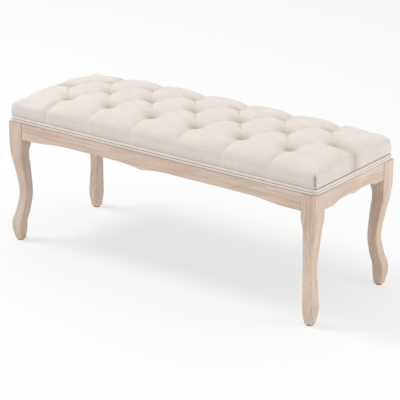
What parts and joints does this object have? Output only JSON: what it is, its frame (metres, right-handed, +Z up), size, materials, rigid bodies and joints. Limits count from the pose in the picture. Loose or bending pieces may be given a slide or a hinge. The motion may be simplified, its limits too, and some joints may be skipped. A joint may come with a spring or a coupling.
{
  "type": "upholstered bench",
  "caption": "Long upholstered bench with a diamond-tufted linen seat, double welt, shaped wooden rails and square cabriole legs on glides.",
  "frame": {"origin": "on the floor, under the middle of the bench", "axes": "+X along the length to the right seen from the front, -Y to the front, +Z up"},
  "size_m": [1.1, 0.404, 0.484],
  "materials": {
    "frame_wood": "bleached, open-grained hardwood with a matt finish",
    "block_wood": "plain sawn softwood",
    "board_ply": "plain plywood",
    "foam": "open-cell upholstery foam",
    "linen": "plain-woven natural linen",
    "cotton_cord": "twisted cotton",
    "dust_cloth": "black non-woven cloth",
    "glide": "dark grey moulded plastic",
    "back_button": "moulded plastic",
    "steel": "zinc-plated steel"
  },
  "bodies": {
    "root": {"back_buttons": "back_button", "back_rail": "frame_wood", "brace_screws": "steel", "corner_block_back_left": "block_wood", "corner_block_back_right": "block_wood", "corner_block_front_left": "block_wood", "corner_block_front_right": "block_wood", "corner_block_screws": "steel", "cover_staples": "steel", "cross_brace_left": "block_wood", "cross_brace_right": "block_wood", "double_welt": "linen", "dust_cloth": "dust_cloth", "dust_cloth_staples": "steel", "front_rail": "frame_wood", "glide_back_left": "glide", "glide_back_right": "glide", "glide_front_left": "glide", "glide_front_right": "glide", "glide_nails": "steel", "left_rail": "frame_wood", "leg_back_left": "frame_wood", "leg_back_right": "frame_wood", "leg_front_left": "frame_wood", "leg_front_right": "frame_wood", "right_rail": "frame_wood", "seat_board": "board_ply", "seat_cover": "linen", "seat_foam": "foam", "seat_screws": "steel", "tuft_buttons_back": "linen", "tuft_buttons_front": "linen", "tuft_buttons_middle": "linen", "tufting_twine": "cotton_cord", "welt_cord_lower": "cotton_cord", "welt_cord_upper": "cotton_cord"}
  },
  "joints": []
}
